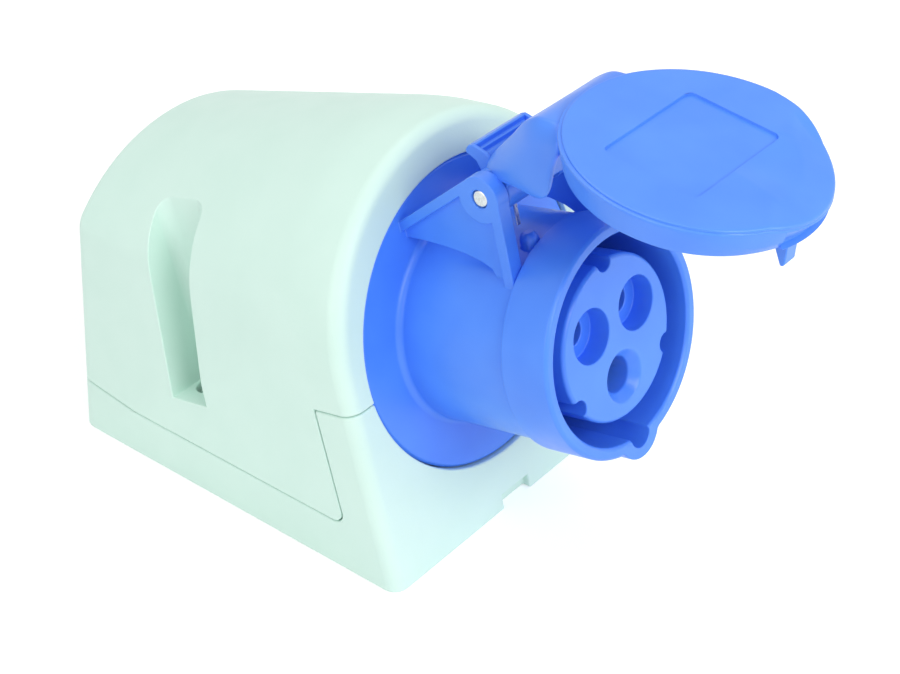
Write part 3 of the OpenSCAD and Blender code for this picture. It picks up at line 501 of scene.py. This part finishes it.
def cap_chain(turn):
    """Places from the label's middle over the top, round the edge and back under the cap."""
    across, down = sin(radians(turn)), -cos(radians(turn))
    floor, brim = label_reach(turn, 0.0), label_reach(turn, LABEL_LEAN)
    label = [(0.0, CAP_H - LABEL_DEPTH), (floor, CAP_H - LABEL_DEPTH), (brim, CAP_H)]
    shift = PLAIN_SHIFT * plain_share(turn)
    chain = [lid_point(r * across, LABEL_U + r * down, s) for r, s in label]
    chain += [lid_point(r * across, r * down, cap_top(r, turn)) for r in TOP_RINGS]
    chain += [lid_point(r * across + shift, r * down, s) for r, s in cap_edge(turn)]
    return chain + [lid_point(r * across, r * down, s) for r, s in UNDERSIDE]


def close_form(form):
    """Merges doubled corners, drops faces that fell flat and turns every face outwards."""
    bmesh.ops.remove_doubles(form, verts=form.verts, dist=DOUBLED)
    bmesh.ops.dissolve_degenerate(form, dist=FELL_FLAT, edges=form.edges)
    bmesh.ops.recalc_face_normals(form, faces=form.faces)
    return form


def cap_form():
    form = bmesh.new()
    chains = [[form.verts.new(place * MM) for place in cap_chain(turn)] for turn in cap_turns()]
    for chain, after in zip(chains, chains[1:] + chains[:1]):
        for k in range(len(chain) - 1):
            form.faces.new((chain[k], after[k], after[k + 1], chain[k + 1]))
    return close_form(form)


cap = new_piece("splash_lid", bpy.data.meshes.new("splash_lid"))
cap_form().to_mesh(cap.data)
print("cap", len(cap.data.polygons), "faces")

# %% [markdown]
# ## Hood of the hinge arm
# Behind the cap the arm is a thin moulded hood: a flat roof that widens from the thumb tab to the cap and
# rolls over into two cheeks, which hang beside the collar when the lid is closed. Six rows of corners
# make a coarse cage. Solidify gives it a wall and Subdivision Surface lets it flow into one soft skin.

# %% Cage of the hood
HOOD_WALL, HOOD_CREASE, HOOD_LEVELS = 1.7, 0.85, 3
CREST_ROW, BORDER_COLUMN = 2, 2
HOOD_ROWS = [
    [(0, 41.4, -12.3), (4.6, 41.4, -12.3), (8.7, 41.4, -12.3), (11.2, 40.4, -13.1), (12.3, 38.9, -13.8),
     (12.3, 37.2, -14.6)],
    [(0, 36.4, -5.7), (5.4, 36.4, -5.7), (10.0, 36.4, -5.7), (13.0, 34.6, -7.9), (14.0, 33.0, -9.6),
     (14.2, 31.0, -11.2)],
    [(0, 32.0, 1.6), (6.0, 32.0, 1.6), (11.5, 32.0, 1.7), (14.6, 30.0, -2.4), (15.9, 27.4, -6.2),
     (15.9, 24.0, -10.8)],
    [(0, 29.0, 4.7), (6.4, 29.0, 4.7), (12.2, 29.0, 4.9), (15.0, 26.8, 0.8), (15.9, 23.4, -2.8),
     (16.4, 20.7, -8.2)],
    [(0, 25.6, 5.6), (6.8, 25.6, 5.6), (12.0, 25.4, 5.5), (15.2, 23.6, 3.6), (16.0, 22.4, 1.4),
     (16.2, 21.6, -1.6)],
    [(0, 22.6, 6.1), (6.8, 22.6, 6.1), (12.0, 22.6, 6.0), (15.2, 21.2, 5.2), (15.9, 20.5, 3.8),
     (15.9, 20.2, 2.6)],
]


def hood_piece():
    form = bmesh.new()
    rows = [[form.verts.new(lid_point(-x, u, s) * MM) for x, u, s in row[:0:-1]]
            + [form.verts.new(lid_point(x, u, s) * MM) for x, u, s in row] for row in HOOD_ROWS]
    for row, after in zip(rows, rows[1:]):
        for k in range(len(row) - 1):
            form.faces.new((row[k], after[k], after[k + 1], row[k + 1]))
    crease = form.edges.layers.float.new("crease_edge")
    middle, crest = len(rows[0]) // 2, rows[CREST_ROW]
    left, right = middle - BORDER_COLUMN, middle + BORDER_COLUMN
    for row, after in zip(rows, rows[1:]):
        for k in (left, right):
            form.edges.get((row[k], after[k]))[crease] = HOOD_CREASE
    for k in range(left, right):
        form.edges.get((crest[k], crest[k + 1]))[crease] = HOOD_CREASE
    mesh = bpy.data.meshes.new("hood")
    form.to_mesh(mesh)
    form.free()
    hood = new_piece("hood", mesh)
    wall = hood.modifiers.new("wall", "SOLIDIFY")
    wall.thickness = HOOD_WALL * MM
    wall.offset = -1.0
    wall.use_even_offset = True
    smooth = hood.modifiers.new("smooth", "SUBSURF")
    smooth.levels = HOOD_LEVELS
    smooth.render_levels = HOOD_LEVELS
    settle(hood)
    return hood


hood = hood_piece()
print("hood", len(hood.data.polygons), "faces")

# %% [markdown]
# ## Thumb tab, hinge barrel and tongue
# These are straight mouldings, so each is an outline in (s, u) that is pulled across the lid. The tab's
# front face has two grooves for grip that stop short of its ends, so it is three lengths side by side.

# %% Outlines of the straight mouldings
BARREL_R, BARREL_END, SLOT_HALF = 4.6, 12.4, 4.2
TAB_HALF, TAB_CAP, TONGUE_HALF = 8.7, 0.9, 1.9
TAB_FOOT = [(-14.6, 43.8), (-17.2, 41.4), (-16.5, 38.0), (-12.6, 40.2)]
TAB_END = [(-11.8, 41.6), (-11.5, 45.2), (-12.1, 46.2), (-13.2, 46.7), (-13.9, 46.5)] + TAB_FOOT
TAB_GRIP = [(-11.8, 41.6), (-11.77, 41.9), (-12.6, 42.1), (-12.6, 42.95), (-11.68, 43.15), (-11.65, 43.5),
            (-12.5, 43.7), (-12.5, 44.55), (-11.55, 44.75)] + TAB_END[1:]
WEB_SIDE = [(-16.5, 40.4), (-10.9, 37.2), (-6.8, 32.2), (-7.6, 27.4), (-13.4, 32.9), (-16.5, 36.6)]
WEB_MIDDLE = [(-12.6, 40.4), (-6.4, 35.6), (-0.6, 30.2), (1.0, 26.0), (-9.6, 26.0), (-11.9, 32.4),
              (-11.4, 38.0)]
TONGUE = [(4.3, -21.8), (-6.9, -22.5), (-7.6, -22.2), (-7.7, -21.6), (-4.0, -19.5), (4.3, -18.4)]


def barrel_outline(steps=48):
    return [(BARREL_R * sin(2 * pi * k / steps) - PIN_BACK, PIN_UP + BARREL_R * cos(2 * pi * k / steps))
            for k in range(steps)]


def prism(loops):
    """A closed mesh between loops of points, filled at both ends."""
    form = bmesh.new()
    rows = [[form.verts.new(place * MM) for place in loop] for loop in loops]
    for row, after in zip(rows, rows[1:]):
        for k in range(len(row)):
            form.faces.new((row[k], row[k - 1], after[k - 1], after[k]))
    form.faces.new(rows[0])
    form.faces.new(rows[-1][::-1])
    return close_form(form)


def pulled(outline, x0, x1):
    """An outline pulled across the lid from x0 to x1."""
    return prism([[lid_point(x, u, s) for s, u in outline] for x in (x0, x1)])


print("points in the tab's outlines", len(TAB_END), "and", len(TAB_GRIP))

# %% [markdown]
# ## One lid from its mouldings
# The real lid is one shot of plastic. Each moulding is rounded by itself and added to the cap's mesh, and
# the normals are made once at the end, because joining would otherwise carry over those of each piece.

# %% Joining the lid
SHARP_TURN = radians(40)


def join_skin(target, piece):
    """Adds a piece's mesh to the target's and removes the piece."""
    form = bmesh.new()
    form.from_mesh(target.data)
    form.from_mesh(piece.data)
    form.to_mesh(target.data)
    form.free()
    bpy.data.objects.remove(piece)


def add_moulding(target, form, edge_mm):
    """Rounds a straight moulding and adds it to the target's skin."""
    piece = new_piece("moulding", bpy.data.meshes.new("moulding"))
    form.to_mesh(piece.data)
    rounded(piece, edge_mm, clamp=True)
    join_skin(target, piece)


join_skin(cap, hood)
for side in (-1, 1):
    near, end = sorted((side * SLOT_HALF, side * BARREL_END))
    add_moulding(cap, pulled(barrel_outline(), near, end), 0.35)
    add_moulding(cap, pulled(WEB_SIDE, near, end), 0.5)
    add_moulding(cap, pulled(TAB_END, *sorted((side * (TAB_HALF - TAB_CAP), side * TAB_HALF))), 0.25)
add_moulding(cap, pulled(WEB_MIDDLE, -TAB_HALF, TAB_HALF), 0.3)
add_moulding(cap, pulled(TAB_GRIP, TAB_CAP - TAB_HALF, TAB_HALF - TAB_CAP), 0.15)
add_moulding(cap, pulled(TONGUE, -TONGUE_HALF, TONGUE_HALF), 0.45)
even_normals(cap, SHARP_TURN)
stand_for(cap, BLUE_PLASTIC, "blue_plastic", "lid", "lid")
print("lid", len(cap.data.polygons), "faces")

# %% [markdown]
# ## Trees of geometry nodes
# What repeats or follows a rule comes from a tree: the two cover screws and the coiled lid spring. Small
# helpers make the trees short to read: one adds a node, one adds arithmetic, and one runs a finished
# tree, with its sizes set by socket identifier, and keeps the plain mesh.

# %% Helpers for geometry trees
def new_tree(name, sizes):
    """A tree with one named input for each size, in metres or as a plain number."""
    tree = bpy.data.node_groups.new(name, "GeometryNodeTree")
    tree.interface.new_socket("Geometry", in_out="OUTPUT", socket_type="NodeSocketGeometry")
    for label in sizes:
        tree.interface.new_socket(label, in_out="INPUT", socket_type="NodeSocketFloat")
    return tree, tree.nodes.new("NodeGroupInput").outputs


def feed(tree, socket, value):
    """Links a socket to another one, or sets its value."""
    if isinstance(value, bpy.types.NodeSocket):
        tree.links.new(value, socket)
    else:
        socket.default_value = value


def geo(tree, kind, inputs=None, **settings):
    """A node with its settings and its inputs by name."""
    made = tree.nodes.new(kind)
    for name, value in settings.items():
        setattr(made, name, value)
    for name, value in (inputs or {}).items():
        feed(tree, made.inputs[name], value)
    return made


def calc(tree, operation, *values):
    """One step of arithmetic."""
    made = geo(tree, "ShaderNodeMath", operation=operation)
    for socket, value in zip(made.inputs, values):
        feed(tree, socket, value)
    return made.outputs[0]


def point(tree, x=0.0, y=0.0, z=0.0):
    return geo(tree, "ShaderNodeCombineXYZ", {"X": x, "Y": y, "Z": z}).outputs[0]


def end_tree(tree, geometry, material):
    """Every tree ends the same way: instances made real, and one material set."""
    real = geo(tree, "GeometryNodeRealizeInstances", {"Geometry": geometry})
    finish = geo(tree, "GeometryNodeSetMaterial", {"Geometry": real.outputs[0], "Material": material})
    out = tree.nodes.new("NodeGroupOutput")
    tree.links.new(finish.outputs[0], out.inputs[0])


def run_tree(tree, name, sizes):
    """The tree's result as a plain piece."""
    piece = new_piece(name, bpy.data.meshes.new(name))
    modifier = piece.modifiers.new(name, "NODES")
    modifier.node_group = tree
    for item in tree.interface.items_tree:
        if item.in_out == "INPUT":
            modifier[item.identifier] = float(sizes[item.name])
    settle(piece)
    return piece


print("geometry trees so far", len(bpy.data.node_groups))

# %% [markdown]
# ## Cover screws
# Two pan head screws hold the cover. The head is a quarter of a superellipse turned about the screw's
# axis, which gives the flat crown and the tight rim of a pressed head.

# %% Turned screw head
SCREW_BACK, SCREW_SPACING, SCREW_SEAT = 94.5, 66.8, -14.6
SCREW_SIZES = {"Head radius": 3.7 * MM, "Head height": 2.6 * MM, "Shank radius": 2.0 * MM,
               "Shank length": 13.0 * MM, "Recess width": 0.9 * MM, "Recess length": 4.2 * MM,
               "Recess depth": 1.3 * MM, "Spacing": SCREW_SPACING * MM}
HEAD_ROUNDNESS, HEAD_STEPS, HEAD_SIDES = 0.42, 15, 64


def turned_head(tree, sizes):
    """A grid whose one side runs up the rounded profile and whose other side runs round the axis."""
    grid = geo(tree, "GeometryNodeMeshGrid", {"Vertices X": HEAD_STEPS + 1, "Vertices Y": HEAD_SIDES + 1})
    index = geo(tree, "GeometryNodeInputIndex").outputs[0]
    column = float(HEAD_SIDES + 1)
    step = calc(tree, "FLOOR", calc(tree, "DIVIDE", index, column))
    lift = calc(tree, "MULTIPLY", step, pi / 2 / HEAD_STEPS)
    turn = calc(tree, "MULTIPLY", calc(tree, "MODULO", index, column), 2 * pi / HEAD_SIDES)
    reach = calc(tree, "POWER", calc(tree, "MAXIMUM", calc(tree, "COSINE", lift), 0.0), HEAD_ROUNDNESS)
    rise = calc(tree, "POWER", calc(tree, "SINE", lift), HEAD_ROUNDNESS)
    radius = calc(tree, "MULTIPLY", reach, sizes["Head radius"])
    place = point(tree, calc(tree, "MULTIPLY", radius, calc(tree, "COSINE", turn)),
                  calc(tree, "MULTIPLY", radius, calc(tree, "SINE", turn)),
                  calc(tree, "MULTIPLY", rise, sizes["Head height"]))
    dome = geo(tree, "GeometryNodeSetPosition", {"Geometry": grid.outputs["Mesh"], "Position": place})
    return dome.outputs[0]


print("screw head", SCREW_SIZES["Head radius"], "m in radius")

# %% [markdown]
# ## The pair of screws
# Two blocks cut the cross recess, one after the other, because a cutter that crosses itself leaves open
# edges. Head and shank are joined, and the finished screw stands on two points, one in each pocket.

# %% Screw tree
def screw_tree():
    tree, sizes = new_tree("cover_screw", SCREW_SIZES)
    under = geo(tree, "GeometryNodeMeshCircle", {"Vertices": HEAD_SIDES, "Radius": sizes["Head radius"]},
                fill_type="NGON")
    head = geo(tree, "GeometryNodeJoinGeometry")
    tree.links.new(turned_head(tree, sizes), head.inputs[0])
    tree.links.new(under.outputs[0], head.inputs[0])
    closed = geo(tree, "GeometryNodeMergeByDistance", {"Geometry": head.outputs[0], "Distance": SAME_PLACE})
    body = closed.outputs[0]
    for across, along in (("Recess width", "Recess length"), ("Recess length", "Recess width")):
        block = geo(tree, "GeometryNodeMeshCube", {"Size": point(
            tree, sizes[across], sizes[along], calc(tree, "MULTIPLY", sizes["Recess depth"], 2.0))})
        raised = geo(tree, "GeometryNodeTransform", {
            "Geometry": block.outputs[0], "Translation": point(tree, 0.0, 0.0, sizes["Head height"])})
        cut = geo(tree, "GeometryNodeMeshBoolean", operation="DIFFERENCE", solver="EXACT")
        tree.links.new(body, cut.inputs[0])
        tree.links.new(raised.outputs[0], cut.inputs[1])
        body = cut.outputs[0]
    shank = geo(tree, "GeometryNodeMeshCylinder", {
        "Vertices": 32, "Radius": sizes["Shank radius"], "Depth": sizes["Shank length"]})
    lowered = geo(tree, "GeometryNodeTransform", {
        "Geometry": shank.outputs["Mesh"],
        "Translation": point(tree, 0.0, 0.0, calc(tree, "MULTIPLY", sizes["Shank length"], -0.5))})
    screw = geo(tree, "GeometryNodeJoinGeometry")
    tree.links.new(body, screw.inputs[0])
    tree.links.new(lowered.outputs[0], screw.inputs[0])
    half = calc(tree, "MULTIPLY", sizes["Spacing"], 0.5)
    seat = socket_point(0, SCREW_SEAT, -SCREW_BACK) * MM
    row = geo(tree, "GeometryNodeMeshLine", {
        "Count": 2, "Start Location": point(tree, calc(tree, "MULTIPLY", half, -1.0), seat.y, seat.z),
        "Offset": point(tree, sizes["Spacing"])}, mode="OFFSET")
    pair = geo(tree, "GeometryNodeInstanceOnPoints", {
        "Points": row.outputs[0], "Instance": screw.outputs[0], "Rotation": (-TILT, 0.0, 0.0)})
    end_tree(tree, pair.outputs[0], STEEL)
    return tree


screws = run_tree(screw_tree(), "cover_screw_pair", SCREW_SIZES)
screws.data.shade_smooth()
screws.data.set_sharp_from_angle(angle=SHARP_TURN)
stand_for(screws, STEEL, "steel", "housing", "cover_screws")
washers = moulded_copy("screw_washers", STEEL, "steel", "housing", 0.12)
print("screws", len(screws.data.polygons), "faces")

# %% [markdown]
# ## Lid spring
# A leg spring is one length of round wire: a hook that holds in the lid, five close turns on the hinge
# pin and a leg that bears on the socket. In the tree a line of points is laid along that path by its
# formula, and a circle is drawn along it.

# %% Spring tree
PIN_PLACE = socket_point(0, PIN_UP, -PIN_BACK)
SPRING_SIZES = {"Wire radius": 0.45 * MM, "Coil radius": 3.0 * MM, "Half length": 3.35 * MM,
                "Turns": 5.0, "Hook": 3.6 * MM, "Leg": 11.6 * MM}
SPRING_POINTS = 242
COIL_START = radians(42)


def spring_tree():
    tree, sizes = new_tree("leg_spring", SPRING_SIZES)
    line = geo(tree, "GeometryNodeMeshLine", {"Count": SPRING_POINTS})
    index = geo(tree, "GeometryNodeInputIndex").outputs[0]
    last = float(SPRING_POINTS - 1)
    share = calc(tree, "DIVIDE", calc(tree, "SUBTRACT", index, 1.0), last - 2.0)
    share = calc(tree, "MINIMUM", calc(tree, "MAXIMUM", share, 0.0), 1.0)
    coiled = calc(tree, "MULTIPLY", sizes["Turns"], -2 * pi)
    sweep = calc(tree, "ADD", coiled, OPEN_ANGLE - pi / 2 - COIL_START)
    turn = calc(tree, "ADD", calc(tree, "MULTIPLY", share, sweep), COIL_START)
    sine, cosine = calc(tree, "SINE", turn), calc(tree, "COSINE", turn)
    hook = calc(tree, "MULTIPLY", calc(tree, "LESS_THAN", index, 0.5), sizes["Hook"])
    leg = calc(tree, "MULTIPLY", calc(tree, "GREATER_THAN", index, last - 0.5), sizes["Leg"])
    pull = calc(tree, "SUBTRACT", leg, hook)
    across = calc(tree, "MULTIPLY", sizes["Half length"],
                  calc(tree, "SUBTRACT", 1.0, calc(tree, "MULTIPLY", share, 2.0)))
    up = calc(tree, "ADD", calc(tree, "MULTIPLY", sizes["Coil radius"], cosine),
              calc(tree, "MULTIPLY", pull, sine))
    out = calc(tree, "SUBTRACT", calc(tree, "MULTIPLY", sizes["Coil radius"], sine),
               calc(tree, "MULTIPLY", pull, cosine))
    laid = geo(tree, "GeometryNodeSetPosition", {
        "Geometry": line.outputs[0], "Position": point(tree, across, up, out)})
    path = geo(tree, "GeometryNodeMeshToCurve", {"Mesh": laid.outputs[0]})
    circle = geo(tree, "GeometryNodeCurvePrimitiveCircle", {"Resolution": 12, "Radius": sizes["Wire radius"]})
    wire = geo(tree, "GeometryNodeCurveToMesh", {
        "Curve": path.outputs[0], "Profile Curve": circle.outputs[0], "Fill Caps": True})
    placed = geo(tree, "GeometryNodeTransform", {
        "Geometry": wire.outputs[0], "Translation": PIN_PLACE * MM,
        "Rotation": (pi / 2 - TILT - OPEN_ANGLE, 0.0, 0.0)})
    end_tree(tree, placed.outputs[0], STEEL)
    return tree


spring = run_tree(spring_tree(), "lid_leg_spring", SPRING_SIZES)
spring.data.shade_smooth()
spring.data.set_sharp_from_angle(angle=SHARP_TURN)
stand_for(spring, STEEL, "steel", "lid", "lid_spring")
spring_box = [tuple(round(f(v.co[i] for v in spring.data.vertices), 5) for i in range(3)) for f in (min, max)]
